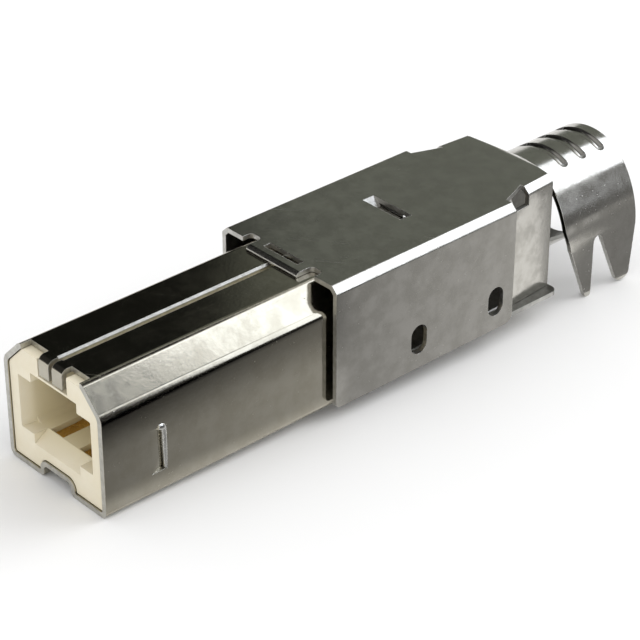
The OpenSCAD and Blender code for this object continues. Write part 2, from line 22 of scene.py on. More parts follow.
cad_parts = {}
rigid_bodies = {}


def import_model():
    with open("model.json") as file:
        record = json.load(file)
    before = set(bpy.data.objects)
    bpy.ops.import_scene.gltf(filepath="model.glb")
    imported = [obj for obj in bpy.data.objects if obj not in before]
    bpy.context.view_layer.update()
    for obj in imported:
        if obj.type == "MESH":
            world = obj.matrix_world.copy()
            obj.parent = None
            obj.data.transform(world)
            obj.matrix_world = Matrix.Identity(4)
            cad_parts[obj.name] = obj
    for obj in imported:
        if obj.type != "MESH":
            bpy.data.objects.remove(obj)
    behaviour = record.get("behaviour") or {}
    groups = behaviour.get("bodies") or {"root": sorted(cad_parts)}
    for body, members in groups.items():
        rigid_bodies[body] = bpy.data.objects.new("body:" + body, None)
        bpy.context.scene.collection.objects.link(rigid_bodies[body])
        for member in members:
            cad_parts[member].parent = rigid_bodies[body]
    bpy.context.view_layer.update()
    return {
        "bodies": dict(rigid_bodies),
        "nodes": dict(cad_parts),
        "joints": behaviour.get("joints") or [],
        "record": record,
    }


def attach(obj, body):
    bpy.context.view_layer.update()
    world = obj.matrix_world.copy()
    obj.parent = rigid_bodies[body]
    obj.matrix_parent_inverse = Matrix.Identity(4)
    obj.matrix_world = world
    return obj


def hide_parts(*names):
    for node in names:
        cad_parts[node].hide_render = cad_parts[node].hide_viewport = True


LOG = logging.getLogger("plug")

MM = 0.001
FRAME_PIXELS = 640
SENSOR_MM = 36.0
BODY = "root"

ROLLED_EDGE_MM = 0.045
EDGE_SAMPLES = 6
GRAIN_RANGE = (0.2, 0.8)

# Material slots of a formed sheet, after the slot of its plated face
CUT_FACE = 1
INNER_FACE = 2

# Sockets of a Mix node that are in use when it mixes colours
MIX_FACTOR, MIX_FIRST, MIX_SECOND, MIX_RESULT = 0, 6, 7, 2

Frame = dict[str, Any]
Colour = tuple[float, float, float]
Span = tuple[float, float]
Socket = bpy.types.NodeSocket

WHITE: Colour = (1.0, 1.0, 1.0)
COOL_WHITE: Colour = (0.86, 0.91, 1.0)
GREENISH_WHITE: Colour = (0.94, 1.0, 0.88)


class LineDirection(Enum):
    """The way that fine lines run on a sheet, as the stretch and the turn of their pattern."""

    ALONG_PLUG = ((1.0, 0.03, 1.0), 0.0)
    ACROSS_PLUG = ((0.03, 1.0, 1.0), 0.0)
    SLANTED = ((1.0, 0.02, 1.0), 0.9)


def opaque(colour: Colour) -> tuple[float, float, float, float]:
    """Gives a colour the full alpha that a colour socket takes."""
    return (*colour, 1.0)


class Graph:
    """A node tree with short calls that add and link its nodes."""

    def __init__(self, tree: bpy.types.NodeTree) -> None:
        """Keeps the tree that the calls work on."""
        self.tree = tree

    def add(self, kind: str, **settings: Any) -> bpy.types.Node:
        """Adds a node.

        Args:
            kind: The node's type name.
            settings: Properties of the node to set.

        Returns:
            The new node.
        """
        node = self.tree.nodes.new(kind)
        for name, value in settings.items():
            setattr(node, name, value)
        return node

    def feed(self, target: Socket, value: Any) -> None:
        """Links a socket to an input, or sets the input to a plain value.

        Args:
            target: The input.
            value: An output socket, a number or a colour, or None to leave the input as it is.
        """
        if isinstance(value, Socket):
            self.tree.links.new(value, target)
        elif value is not None:
            target.default_value = value

    def place(self) -> Socket:
        """Adds the object coordinates."""
        return self.add("ShaderNodeTexCoord").outputs["Object"]

    def split(self, vector: Socket) -> bpy.types.NodeOutputs:
        """Splits coordinates.

        Args:
            vector: The coordinates' socket.

        Returns:
            The outputs X, Y and Z.
        """
        node = self.add("ShaderNodeSeparateXYZ")
        self.feed(node.inputs["Vector"], vector)
        return node.outputs

    def math(self, operation: str, first: Any, second: Any, clamp: bool = False) -> Socket:
        """Adds a Math node.

        Args:
            operation: The Math node's operation.
            first: The first value.
            second: The second value.
            clamp: Whether the result is held between 0 and 1.

        Returns:
            The result's socket.
        """
        node = self.add("ShaderNodeMath", operation=operation, use_clamp=clamp)
        self.feed(node.inputs[0], first)
        self.feed(node.inputs[1], second)
        return node.outputs[0]

    def spread(self, value: Any, low: Any, high: Any, to_low: Any, to_high: Any) -> Socket:
        """Maps a range of values smoothly to another range.

        Args:
            value: The value's socket.
            low: The start of the range.
            high: The end of the range.
            to_low: What the start becomes.
            to_high: What the end becomes.

        Returns:
            The mapped value's socket.
        """
        node = self.add("ShaderNodeMapRange", interpolation_type="SMOOTHSTEP")
        for socket, part in zip(node.inputs, (value, low, high, to_low, to_high)):
            self.feed(socket, part)
        return node.outputs[0]

    def noise(self, vector: Socket, scale: Any, detail: float, roughness: float = 0.5) -> Socket:
        """Adds a noise texture.

        Args:
            vector: The coordinates' socket.
            scale: The pattern's scale.
            detail: The number of octaves.
            roughness: The weight of the finer octaves.

        Returns:
            The noise value's socket.
        """
        node = self.add("ShaderNodeTexNoise")
        self.feed(node.inputs["Vector"], vector)
        self.feed(node.inputs["Scale"], scale)
        node.inputs["Detail"].default_value = detail
        node.inputs["Roughness"].default_value = roughness
        return node.outputs["Fac"]

    def stretch(self, vector: Socket, lines: LineDirection) -> Socket:
        """Stretches and turns coordinates so that a pattern becomes fine lines.

        Args:
            vector: The coordinates' socket.
            lines: The way that the lines run.

        Returns:
            The stretched coordinates' socket.
        """
        scale, turn = lines.value
        turned = self.add("ShaderNodeVectorRotate", rotation_type="Z_AXIS")
        self.feed(turned.inputs["Vector"], vector)
        turned.inputs["Angle"].default_value = turn
        node = self.add("ShaderNodeMapping")
        self.feed(node.inputs["Vector"], turned.outputs["Vector"])
        node.inputs["Scale"].default_value = scale
        return node.outputs["Vector"]

    def bump(self, height: Socket) -> Socket:
        """Adds a Bump node over slightly rolled edges.

        Args:
            height: The height in metres.

        Returns:
            The bent normal's socket.
        """
        edge = self.add("ShaderNodeBevel", samples=EDGE_SAMPLES)
        edge.inputs["Radius"].default_value = ROLLED_EDGE_MM * MM
        node = self.add("ShaderNodeBump")
        node.inputs["Distance"].default_value = 1.0
        self.feed(node.inputs["Height"], height)
        self.feed(node.inputs["Normal"], edge.outputs["Normal"])
        return node.outputs["Normal"]

    def blend(self, factor: Socket, first: Any, second: Any) -> Socket:
        """Mixes two colours.

        Args:
            factor: The share of the second colour.
            first: The first colour.
            second: The second colour.

        Returns:
            The mixed colour's socket.
        """
        node = self.add("ShaderNodeMix", data_type="RGBA")
        self.feed(node.inputs[MIX_FACTOR], factor)
        self.feed(node.inputs[MIX_FIRST], first)
        self.feed(node.inputs[MIX_SECOND], second)
        return node.outputs[MIX_RESULT]


@dataclass
class SurfaceEffects:
    """Shader node groups that more than one finish uses."""

    cloud_turn: Span = (0.3, 0.7)
    line_cut: float = 0.74
    line_gain: float = 0.25
    line_edge: float = 0.06
    patch_scale: float = 0.08
    patch_turn: Span = (0.42, 0.62)
    mottle: bpy.types.NodeTree = field(init=False)
    hairlines: bpy.types.NodeTree = field(init=False)

    def __post_init__(self) -> None:
        """Builds each group once."""
        self.mottle = self._mottle()
        self.hairlines = self._hairlines()

    @staticmethod
    def _group(name: str, inputs: tuple[str, ...],
               outputs: tuple[str, ...]) -> tuple[bpy.types.NodeTree, Any, Any]:
        """Starts a group with a Vector input and the named sockets.

        Args:
            name: The group's name.
            inputs: The number inputs.
            outputs: The number outputs.

        Returns:
            The tree, the outputs of its input node and the inputs of its output node.
        """
        tree = bpy.data.node_groups.new(name, "ShaderNodeTree")
        tree.interface.new_socket("Vector", in_out="INPUT", socket_type="NodeSocketVector")
        for names, in_out in ((inputs, "INPUT"), (outputs, "OUTPUT")):
            for socket_name in names:
                tree.interface.new_socket(socket_name, in_out=in_out, socket_type="NodeSocketFloat")
        given = tree.nodes.new("NodeGroupInput")
        result = tree.nodes.new("NodeGroupOutput")
        return tree, given.outputs, result.inputs

    def _mottle(self) -> bpy.types.NodeTree:
        """Soft clouds of uneven plating or moulding, with finer grain in them.

        Returns:
            The group, with outputs Clouds and Grain.
        """
        tree, given, result = self._group("uneven_surface", ("Scale", "Grain Scale"), ("Clouds", "Grain"))
        graph = Graph(tree)
        clouds = graph.noise(given["Vector"], given["Scale"], detail=3.0, roughness=0.6)
        grain = graph.noise(given["Vector"], given["Grain Scale"], detail=2.0)
        graph.feed(result["Clouds"], graph.spread(clouds, *self.cloud_turn, 0.0, 1.0))
        graph.feed(result["Grain"], grain)
        return tree

    def _hairlines(self) -> bpy.types.NodeTree:
        """Fine hairlines in patches, along coordinates that come in stretched.

        Returns:
            The group, with the output Lines.
        """
        tree, given, result = self._group("hairlines", ("Scale", "Share"), ("Lines",))
        graph = Graph(tree)
        lines = graph.noise(given["Vector"], given["Scale"], detail=1.0)
        more = graph.math("MULTIPLY", given["Share"], self.line_gain)
        cut = graph.math("SUBTRACT", self.line_cut, more)
        sharp = graph.spread(lines, cut, graph.math("ADD", cut, self.line_edge), 0.0, 1.0)
        wide = graph.math("MULTIPLY", given["Scale"], self.patch_scale)
        patches = graph.noise(given["Vector"], wide, detail=2.0)
        where = graph.spread(patches, *self.patch_turn, 0.0, 1.0)
        graph.feed(result["Lines"], graph.math("MULTIPLY", sharp, where))
        return tree


class FinishKit:
    """What the finishes share: the start of a material and the placing of the effects."""

    def __init__(self, effects: SurfaceEffects) -> None:
        """Keeps the shared effects."""
        self.effects = effects

    @staticmethod
    def start(name: str) -> tuple[bpy.types.Material, Graph, bpy.types.NodeInputs, Socket]:
        """Starts a node material.

        Args:
            name: The material's name.

        Returns:
            The material, its graph, the inputs of its Principled shader and its object coordinates.
        """
        material = bpy.data.materials.new(name)
        material.use_nodes = True
        graph = Graph(material.node_tree)
        shader = next(node for node in material.node_tree.nodes if node.type == "BSDF_PRINCIPLED")
        return material, graph, shader.inputs, graph.place()

    @staticmethod
    def _effect(graph: Graph, tree: bpy.types.NodeTree, values: dict[str, Any]) -> bpy.types.NodeOutputs:
        """Places a shared effect in a material.

        Args:
            graph: The material's graph.
            tree: The effect's group.
            values: The effect's inputs by name.

        Returns:
            The effect's outputs.
        """
        node = graph.add("ShaderNodeGroup", node_tree=tree)
        for name, value in values.items():
            graph.feed(node.inputs[name], value)
        return node.outputs

    def mottle(self, graph: Graph, place: Socket, clouds: float, grain: float) -> tuple[Socket, Socket]:
        """Places the uneven surface in a material.

        Args:
            graph: The material's graph.
            place: The coordinates' socket.
            clouds: The scale of the clouds.
            grain: The scale of the grain.

        Returns:
            The sockets of the clouds and of the grain.
        """
        values = {"Vector": place, "Scale": clouds, "Grain Scale": grain}
        outputs = self._effect(graph, self.effects.mottle, values)
        return outputs["Clouds"], outputs["Grain"]

    def hairlines(self, graph: Graph, place: Socket, lines: LineDirection, scale: float,
                  share: float) -> Socket:
        """Places hairlines in a material.

        Args:
            graph: The material's graph.
            place: The coordinates' socket.
            lines: The way that the lines run.
            scale: The scale of the lines.
            share: How much of the surface has lines.

        Returns:
            The lines' socket.
        """
        values = {"Vector": graph.stretch(place, lines), "Scale": scale, "Share": share}
        return self._effect(graph, self.effects.hairlines, values)["Lines"]

    @staticmethod
    def grain_roughness(graph: Graph, grain: Socket, middle: float, change: float) -> Socket:
        """Lets the roughness follow the grain.

        Args:
            graph: The material's graph.
            grain: The grain's socket.
            middle: The roughness in the middle of the range.
            change: How far the roughness goes to each side.

        Returns:
            The roughness's socket.
        """
        return graph.spread(grain, *GRAIN_RANGE, middle - change, middle + change)


@dataclass(frozen=True)
class PlatedSheet:
    """Bright plated sheet metal: cloudy plating, a fine orange peel, rolling lines and a few scuffs."""

    name: str
    colour: Colour
    tarnish: Colour
    roughness: float
    cloud_roughness: float
    peel_mm: float
    wave_mm: float
    rolled: LineDirection
    rolling_share: float
    scuff_share: float
    cloud_scale: float = 900.0
    grain_scale: float = 5200.0
    rolling_scale: float = 9000.0
    scuff_scale: float = 6500.0
    wave_scale: float = 1600.0
    rolling_roughness: float = 0.06
    scuff_roughness: float = 0.3
    scuff_gain: float = 1.2

    def material(self, kit: FinishKit) -> bpy.types.Material:
        """Builds the finish.

        Args:
            kit: The shared start and effects.

        Returns:
            The material.
        """
        material, graph, shader, place = kit.start(self.name)
        clouds, grain = kit.mottle(graph, place, self.cloud_scale, self.grain_scale)
        rolling = kit.hairlines(graph, place, self.rolled, self.rolling_scale, self.rolling_share)
        scuffs = kit.hairlines(graph, place, LineDirection.SLANTED, self.scuff_scale, self.scuff_share)
        plated = graph.blend(clouds, opaque(self.colour), opaque(self.tarnish))
        bared = tuple(min(1.0, self.scuff_gain * part) for part in self.colour)
        graph.feed(shader["Base Color"], graph.blend(scuffs, plated, opaque(bared)))
        rough = graph.spread(clouds, 0.0, 1.0, self.roughness, self.roughness + self.cloud_roughness)
        rough = graph.math("ADD", rough, graph.math("MULTIPLY", rolling, self.rolling_roughness))
        scuffed = graph.math("MULTIPLY", scuffs, self.scuff_roughness)
        graph.feed(shader["Roughness"], graph.math("ADD", rough, scuffed, clamp=True))
        shader["Metallic"].default_value = 1.0
        wave = graph.math("MULTIPLY", graph.noise(place, self.wave_scale, detail=2.0), self.wave_mm * MM)
        height = graph.math("ADD", wave, graph.math("MULTIPLY", grain, self.peel_mm * MM))
        graph.feed(shader["Normal"], graph.bump(height))
        return material


@dataclass(frozen=True)
class UnpolishedMetal:
    """Metal with no bright plating: a sheet's cut face, a cover's inside painted dark as shade, or a
    lance's rolled lip.
    """

    name: str
    colour: Colour
    worn: Colour
    roughness: float
    roughness_change: float = 0.1
    grain_mm: float = 0.002
    cloud_scale: float = 2400.0
    grain_scale: float = 9000.0

    def material(self, kit: FinishKit) -> bpy.types.Material:
        """Builds the finish.

        Args:
            kit: The shared start and effects.

        Returns:
            The material.
        """
        material, graph, shader, place = kit.start(self.name)
        clouds, grain = kit.mottle(graph, place, self.cloud_scale, self.grain_scale)
        graph.feed(shader["Base Color"], graph.blend(clouds, opaque(self.colour), opaque(self.worn)))
        rough = kit.grain_roughness(graph, grain, self.roughness, self.roughness_change)
        graph.feed(shader["Roughness"], rough)
        shader["Metallic"].default_value = 1.0
        graph.feed(shader["Normal"], graph.bump(graph.math("MULTIPLY", grain, self.grain_mm * MM)))
        return material


@dataclass(frozen=True)
class MouldedPlastic:
    """Satin moulded plastic, with painted shade that makes it deeper in tone inside, behind its front
    face.
    """

    name: str
    colour: Colour
    shade: Colour
    cavity_painted_shade: Colour
    painted_shade_y_mm: Span
    roughness: float
    roughness_change: float = 0.06
    grain_mm: float = 0.003
    cloud_scale: float = 500.0
    grain_scale: float = 5200.0

    def material(self, kit: FinishKit) -> bpy.types.Material:
        """Builds the finish.

        Args:
            kit: The shared start and effects.

        Returns:
            The material.
        """
        material, graph, shader, place = kit.start(self.name)
        clouds, grain = kit.mottle(graph, place, self.cloud_scale, self.grain_scale)
        # Painted shade: the colour turns deeper and darker from the front face into the cavity.
        first, last = self.painted_shade_y_mm
        cavity_shade = graph.spread(graph.split(place)["Y"], first * MM, last * MM, 0.0, 1.0)
        outer = graph.blend(clouds, opaque(self.colour), opaque(self.shade))
        graph.feed(shader["Base Color"], graph.blend(cavity_shade, outer, opaque(self.cavity_painted_shade)))
        rough = kit.grain_roughness(graph, grain, self.roughness, self.roughness_change)
        graph.feed(shader["Roughness"], rough)
        graph.feed(shader["Normal"], graph.bump(graph.math("MULTIPLY", grain, self.grain_mm * MM)))
        return material


@dataclass(frozen=True)
class GoldPlate:
    """Gold flash over a spring alloy, with a little tarnish in clouds."""

    name: str
    colour: Colour
    tarnish: Colour
    roughness: float
    roughness_change: float = 0.05
    cloud_scale: float = 900.0
    grain_scale: float = 6000.0

    def material(self, kit: FinishKit) -> bpy.types.Material:
        """Builds the finish.

        Args:
            kit: The shared start and effects.

        Returns:
            The material.
        """
        material, graph, shader, place = kit.start(self.name)
        clouds, grain = kit.mottle(graph, place, self.cloud_scale, self.grain_scale)
        graph.feed(shader["Base Color"], graph.blend(clouds, opaque(self.colour), opaque(self.tarnish)))
        rough = kit.grain_roughness(graph, grain, self.roughness, self.roughness_change)
        graph.feed(shader["Roughness"], rough)
        shader["Metallic"].default_value = 1.0
        return material


@dataclass(frozen=True)
class RefinedNode:
    """A CAD node carried over as one piece with whole faces and smooth bends.

    A node of folded sheet has its sheet's thickness, so that its cut faces can be told apart. One that
    is also hollow has an inside with a material of its own, which on the covers is painted shade.
    """

    node: str
    slot: str
    sheet_mm: float = 0.0
    hollow: bool = False
    smooth_angle: float = 28.0
    flat_angle: float = 0.4
    merge_mm: float = 0.004
    cut_face_sheets: float = 1.4
    inner_face_cosine: float = 0.5
    wide_face_power: float = 1.5

    def build(self, frame: Frame, *finishes: bpy.types.Material) -> bpy.types.Object:
        """Copies the node's mesh, joins its faces, smooths its bends and dresses it.

        Args:
            frame: The loaded frame.
            finishes: The piece's materials, in the order of their slots.

        Returns:
            The piece, which stands for the node.
        """
        mesh = frame["nodes"][self.node].data.copy()
        mesh.materials.clear()
        piece = bpy.data.objects.new(f"{self.node}_formed", mesh)
        bpy.context.scene.collection.objects.link(piece)
        mesh.transform(Matrix.Scale(1 / MM, 4))
        bpy.ops.object.select_all(action="DESELECT")
        piece.select_set(True)
        bpy.context.view_layer.objects.active = piece
        self._join_flat_faces(mesh)
        if self.sheet_mm:
            self._mark_cut_faces(mesh)
        bpy.ops.object.shade_smooth_by_angle(angle=math.radians(self.smooth_angle))
        self._even_normals(mesh)
        mesh.transform(Matrix.Scale(MM, 4))
        for finish in finishes:
            mesh.materials.append(finish)
        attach(piece, BODY)
        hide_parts(self.node)
        return piece

    def _join_flat_faces(self, mesh: bpy.types.Mesh) -> None:
        """Merges the loose triangles, joins those that lie flat and drops corners on straight edges.

        The longest edges go first, so a face with an opening keeps only short cuts across it.

        Args:
            mesh: The copied mesh, in millimetres.
        """
        shape = bmesh.new()
        shape.from_mesh(mesh)
        bmesh.ops.remove_doubles(shape, verts=shape.verts[:], dist=self.merge_mm)
        flat = math.radians(self.flat_angle)
        for line in sorted(shape.edges, key=bmesh.types.BMEdge.calc_length, reverse=True):
            if line.is_valid and line.is_manifold and line.calc_face_angle() < flat:
                bmesh.utils.face_join(line.link_faces)
        spare = [corner for corner in shape.verts
                 if len(corner.link_edges) == 2 and corner.calc_edge_angle() < flat]
        bmesh.ops.dissolve_verts(shape, verts=spare)
        shape.to_mesh(mesh)
        shape.free()

    def _mark_cut_faces(self, mesh: bpy.types.Mesh) -> None:
        """Gives the second material to the narrow faces where the sheet was cut.

        Args:
            mesh: The merged mesh, in millimetres.
        """
        shape = bmesh.new()
        shape.from_mesh(mesh)
        bends = math.radians(self.smooth_angle)
        left = set(shape.faces)
        while left:
            patch, rim, area = [left.pop()], 0.0, 0.0
            # The patch grows while it is gone through, over every bend that is smooth
            for face in patch:
                area += face.calc_area()
                for line in face.edges:
                    if line.calc_face_angle(math.pi) > bends:
                        rim += line.calc_length()
                        continue
                    for other in line.link_faces:
                        if other in left:
                            left.remove(other)
                            patch.append(other)
            if rim and 2 * area / rim < self.cut_face_sheets * self.sheet_mm:
                for face in patch:
                    face.material_index = CUT_FACE
        if self.hollow:
            self._mark_inner_faces(shape)
        shape.to_mesh(mesh)
        shape.free()

    def _mark_inner_faces(self, shape: bmesh.types.BMesh) -> None:
        """Gives the third material to the faces that look in towards the plug's axis; on the covers it is
        painted shade.

        Args:
            shape: The merged mesh, in millimetres.
        """
        for face in shape.faces:
            place = face.calc_center_median()
            outward = Vector((place.x, 0, place.z)).normalized()
            # The inward faces get the inside material, painted dark as shade in the hollow.
            if face.material_index != CUT_FACE and face.normal.dot(outward) < -self.inner_face_cosine:
                face.material_index = INNER_FACE

    def _even_normals(self, mesh: bpy.types.Mesh) -> None:
        """Lets wide faces shade flat and the narrow faces beside them carry the whole bend.

        Args:
            mesh: The merged mesh, in millimetres.
        """
        shape = bmesh.new()
        shape.from_mesh(mesh)
        bends = math.radians(self.smooth_angle)
        weights = {face: (face.calc_area() / face.calc_perimeter()) ** self.wide_face_power
                   for face in shape.faces}
        normals = []
        for face in shape.faces:
            for corner in face.loops:
                fan = [face]
                for member in fan:
                    for line in member.edges:
                        if corner.vert in line.verts and line.calc_face_angle(math.pi) < bends:
                            fan += [other for other in line.link_faces if other not in fan]
                total = sum((weights[member] * member.normal for member in fan), Vector())
                normals.append(total.normalized())
        shape.free()
        mesh.normals_split_custom_set(normals)


@dataclass
class MatingShell:
    """The folded shell that enters the socket, with the rolled lips behind its side lances.

    A lip's route is given as Y and Z, with its thickness at each point as a share of its radius.
    """

    shell: RefinedNode = RefinedNode("front_shell", "bright_tin", sheet_mm=0.32)
    finish: PlatedSheet = PlatedSheet(
        "bright_plated_shell", colour=(0.465, 0.438, 0.365), tarnish=(0.42, 0.392, 0.318),
        roughness=0.1, cloud_roughness=0.05, peel_mm=0.0009, wave_mm=0.0008,
        rolled=LineDirection.ALONG_PLUG, rolling_share=0.4, scuff_share=0.02)
    cut: UnpolishedMetal = UnpolishedMetal(
        "shell_cut_edge", colour=(0.56, 0.55, 0.51), worn=(0.44, 0.43, 0.39), roughness=0.42)
    rolled: UnpolishedMetal = UnpolishedMetal(
        "rolled_lance_edge", colour=(0.8, 0.79, 0.75), worn=(0.7, 0.69, 0.65), roughness=0.24)
    lip_sides: tuple[tuple[str, int], ...] = (("lance_lip_left", -1), ("lance_lip_right", 1))
    lip_r_mm: float = 0.17
    lip_out_mm: float = 4.1
    lip_route_mm: tuple[Span, ...] = (
        (4.12, -2.4), (4.1, -1.0), (4.08, 0.1), (3.96, 0.3), (3.66, 0.34))
    lip_shares: tuple[float, ...] = (0.7, 1.0, 1.0, 1.5, 1.2)
    lip_roundness: int = 4
    lip_order: int = 3

    def build(self, frame: Frame, kit: FinishKit) -> list[bpy.types.Object]:
        """Builds and dresses the shell and its lips.

        Args:
            frame: The loaded frame.
            kit: The shared start and effects for finishes.

        Returns:
            The shell's pieces.
        """
        shell = self.shell.build(frame, self.finish.material(kit), self.cut.material(kit))
        rolled = self.rolled.material(kit)
        return [shell, *(self._lance_lip(name, side, rolled) for name, side in self.lip_sides)]

    def _lance_lip(self, name: str, side: int, finish: bpy.types.Material) -> bpy.types.Object:
        """Builds the rolled lip behind a side lance, with its hook over the lance's upper corner.

        Args:
            name: The piece's name.
            side: -1 on the left, 1 on the right.
            finish: The lip's material.

        Returns:
            The lip.
        """
        bpy.ops.object.select_all(action="DESELECT")
        bpy.ops.curve.primitive_nurbs_path_add()
        lip = bpy.context.object
        lip.name = name
        path = lip.data
        path.bevel_depth = self.lip_r_mm * MM
        path.bevel_resolution = self.lip_roundness
        path.use_fill_caps = True
        path.splines[0].order_u = self.lip_order
        for point, (y, z), share in zip(path.splines[0].points, self.lip_route_mm, self.lip_shares):
            point.co = (side * self.lip_out_mm * MM, y * MM, z * MM, 1)
            point.radius = share
        bpy.ops.object.convert(target="MESH")
        bpy.ops.object.shade_smooth()
        lip = bpy.context.object
        lip.data.materials.clear()
        lip.data.materials.append(finish)
        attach(lip, BODY)
        return lip


@dataclass
class ContactBlock:
    """The ivory insulator and its four gold contacts."""

    insulator: RefinedNode = RefinedNode("insulator", "ivory_plastic")
    contacts: tuple[RefinedNode, ...] = (
        RefinedNode("contact_upper_left", "gold"), RefinedNode("contact_upper_right", "gold"),
        RefinedNode("contact_lower_left", "gold"), RefinedNode("contact_lower_right", "gold"))
    # The deeper colour inside is painted shade for the cavity behind the front face.
    ivory: MouldedPlastic = MouldedPlastic(
        "ivory_moulding", colour=(0.83, 0.765, 0.605), shade=(0.79, 0.715, 0.54),
        cavity_painted_shade=(0.74, 0.66, 0.445), painted_shade_y_mm=(0.1, 1.6), roughness=0.42)
    gold: GoldPlate = GoldPlate(
        "gold_flash", colour=(0.72, 0.48, 0.16), tarnish=(0.6, 0.38, 0.12), roughness=0.25)

    def build(self, frame: Frame, kit: FinishKit) -> list[bpy.types.Object]:
        """Builds and dresses the insulator and the contacts.

        Args:
            frame: The loaded frame.
            kit: The shared start and effects for finishes.

        Returns:
            The block's pieces.
        """
        block = self.insulator.build(frame, self.ivory.material(kit))
        gold = self.gold.material(kit)
        return [block, *(contact.build(frame, gold) for contact in self.contacts)]


@dataclass
class RearCovers:
    """The two stampings that close the rear and carry the crimp barrel."""

    upper: RefinedNode = RefinedNode("upper_cover", "cover_tin", sheet_mm=0.3, hollow=True)
    lower: RefinedNode = RefinedNode("lower_cover", "cover_tin", sheet_mm=0.3, hollow=True)
    finish: PlatedSheet = PlatedSheet(
        "plated_cover", colour=(0.57, 0.552, 0.508), tarnish=(0.48, 0.464, 0.42),
        roughness=0.14, cloud_roughness=0.08, peel_mm=0.0008, wave_mm=0.0025,
        rolled=LineDirection.ACROSS_PLUG, rolling_share=0.3, scuff_share=0.07)
    cut: UnpolishedMetal = UnpolishedMetal(
        "cover_cut_edge", colour=(0.58, 0.57, 0.54), worn=(0.46, 0.45, 0.42), roughness=0.42)
    # Painted shade: the faces inside the hollow get a dark colour, and a rougher finish.
    inside: UnpolishedMetal = UnpolishedMetal(
        "cover_inside_painted_shade", colour=(0.2, 0.195, 0.175), worn=(0.14, 0.136, 0.12), roughness=0.5)

    def build(self, frame: Frame, kit: FinishKit) -> list[bpy.types.Object]:
        """Builds and dresses both covers.

        Args:
            frame: The loaded frame.
            kit: The shared start and effects for finishes.

        Returns:
            The covers' pieces.
        """
        finishes = [finish.material(kit) for finish in (self.finish, self.cut, self.inside)]
        return [cover.build(frame, *finishes) for cover in (self.upper, self.lower)]


def plain_material(name: str, kind: str,
                   colour: Colour) -> tuple[bpy.types.Material, Graph, bpy.types.Node]:
    """Starts a stage material with one plain shader.

    Args:
        name: The material's name.
        kind: The shader node's type name.
        colour: The shader's colour.

    Returns:
        The material, its graph and its shader.
    """
    material = bpy.data.materials.new(name)
    material.use_nodes = True
    material.node_tree.nodes.clear()
    graph = Graph(material.node_tree)
    shader = graph.add(kind)
    shader.inputs["Color"].default_value = opaque(colour)
    graph.feed(graph.add("ShaderNodeOutputMaterial").inputs["Surface"], shader.outputs[0])
    return material, graph, shader


def glow_material(name: str, tint: Colour = WHITE) -> tuple[bpy.types.Material, Graph, Socket]:
    """Starts a glowing material for a stage card.

    Args:
        name: The material's name.
        tint: The card's colour at full strength.

    Returns:
        The material, its graph and the socket that takes its grey.
    """
    material, graph, glow = plain_material(name, "ShaderNodeEmission", tint)
    return material, graph, glow.inputs["Strength"]


def show_in_shine_only(card: bpy.types.Object, name: str, material: bpy.types.Material) -> None:
    """Dresses a stage card and keeps it out of the picture, the shadows and the diffuse light.

    Args:
        card: The card.
        name: The card's name.
        material: The card's material.
    """
    card.name = name
    card.data.materials.append(material)
    card.visible_camera = False
    card.visible_diffuse = False
    card.visible_shadow = False


def half_width(span: Span) -> float:
    """Gives half the width of a span of degrees, in radians."""
    return math.radians(span[1] - span[0]) / 2


def facing_panel(azimuths: Span, elevations: Span, distance: float) -> tuple[Vector, Euler, float, float]:
    """Works out a flat panel that faces the plug.

    Args:
        azimuths: The panel's sides, in degrees from +Y towards +X.
        elevations: The panel's lower and upper edges, in degrees.
        distance: The distance from the plug in metres.

    Returns:
        The panel's place, its turn, half its width and half its height.
    """
    azimuth = math.radians(sum(azimuths) / 2)
    middle = math.radians(sum(elevations) / 2)
    reach = math.cos(middle)
    away = Vector((math.sin(azimuth) * reach, math.cos(azimuth) * reach, math.sin(middle)))
    half_wide = distance * reach * math.tan(half_width(azimuths))
    half_high = distance * math.tan(half_width(elevations))
    return away * distance, away.to_track_quat("Z", "Y").to_euler(), half_wide, half_high


@dataclass(frozen=True)
class StudioCard:
    """A large plain card around the plug, which only shiny surfaces show.

    Its place is given as angles from the plug, in degrees: azimuth from +Y towards +X, and elevation.
    One grey turns softly into another at an azimuth.
    """

    name: str
    azimuths: Span
    elevations: Span
    distance: float
    left_grey: float
    right_grey: float
    turn_azimuth: float = 0.0
    softness: float = 1.0
    tint: Colour = WHITE

    def build(self) -> None:
        """Adds the card, facing the plug, with its greys."""
        place, turn, half_wide, half_high = facing_panel(self.azimuths, self.elevations, self.distance)
        bpy.ops.object.select_all(action="DESELECT")
        bpy.ops.mesh.primitive_plane_add(size=2.0, location=place)
        card = bpy.context.object
        card.scale = (half_wide, half_high, 1)
        card.rotation_euler = turn
        material, graph, grey = glow_material(self.name, self.tint)
        side = math.tan(half_width(self.azimuths))
        middle = math.radians(sum(self.azimuths) / 2)
        edge = math.tan(middle - math.radians(self.turn_azimuth)) / side
        soft = math.radians(self.softness) / side
        across = graph.split(graph.place())["X"]
        graph.feed(grey, graph.spread(across, edge - soft, edge + soft, self.right_grey, self.left_grey))
        show_in_shine_only(card, self.name, material)


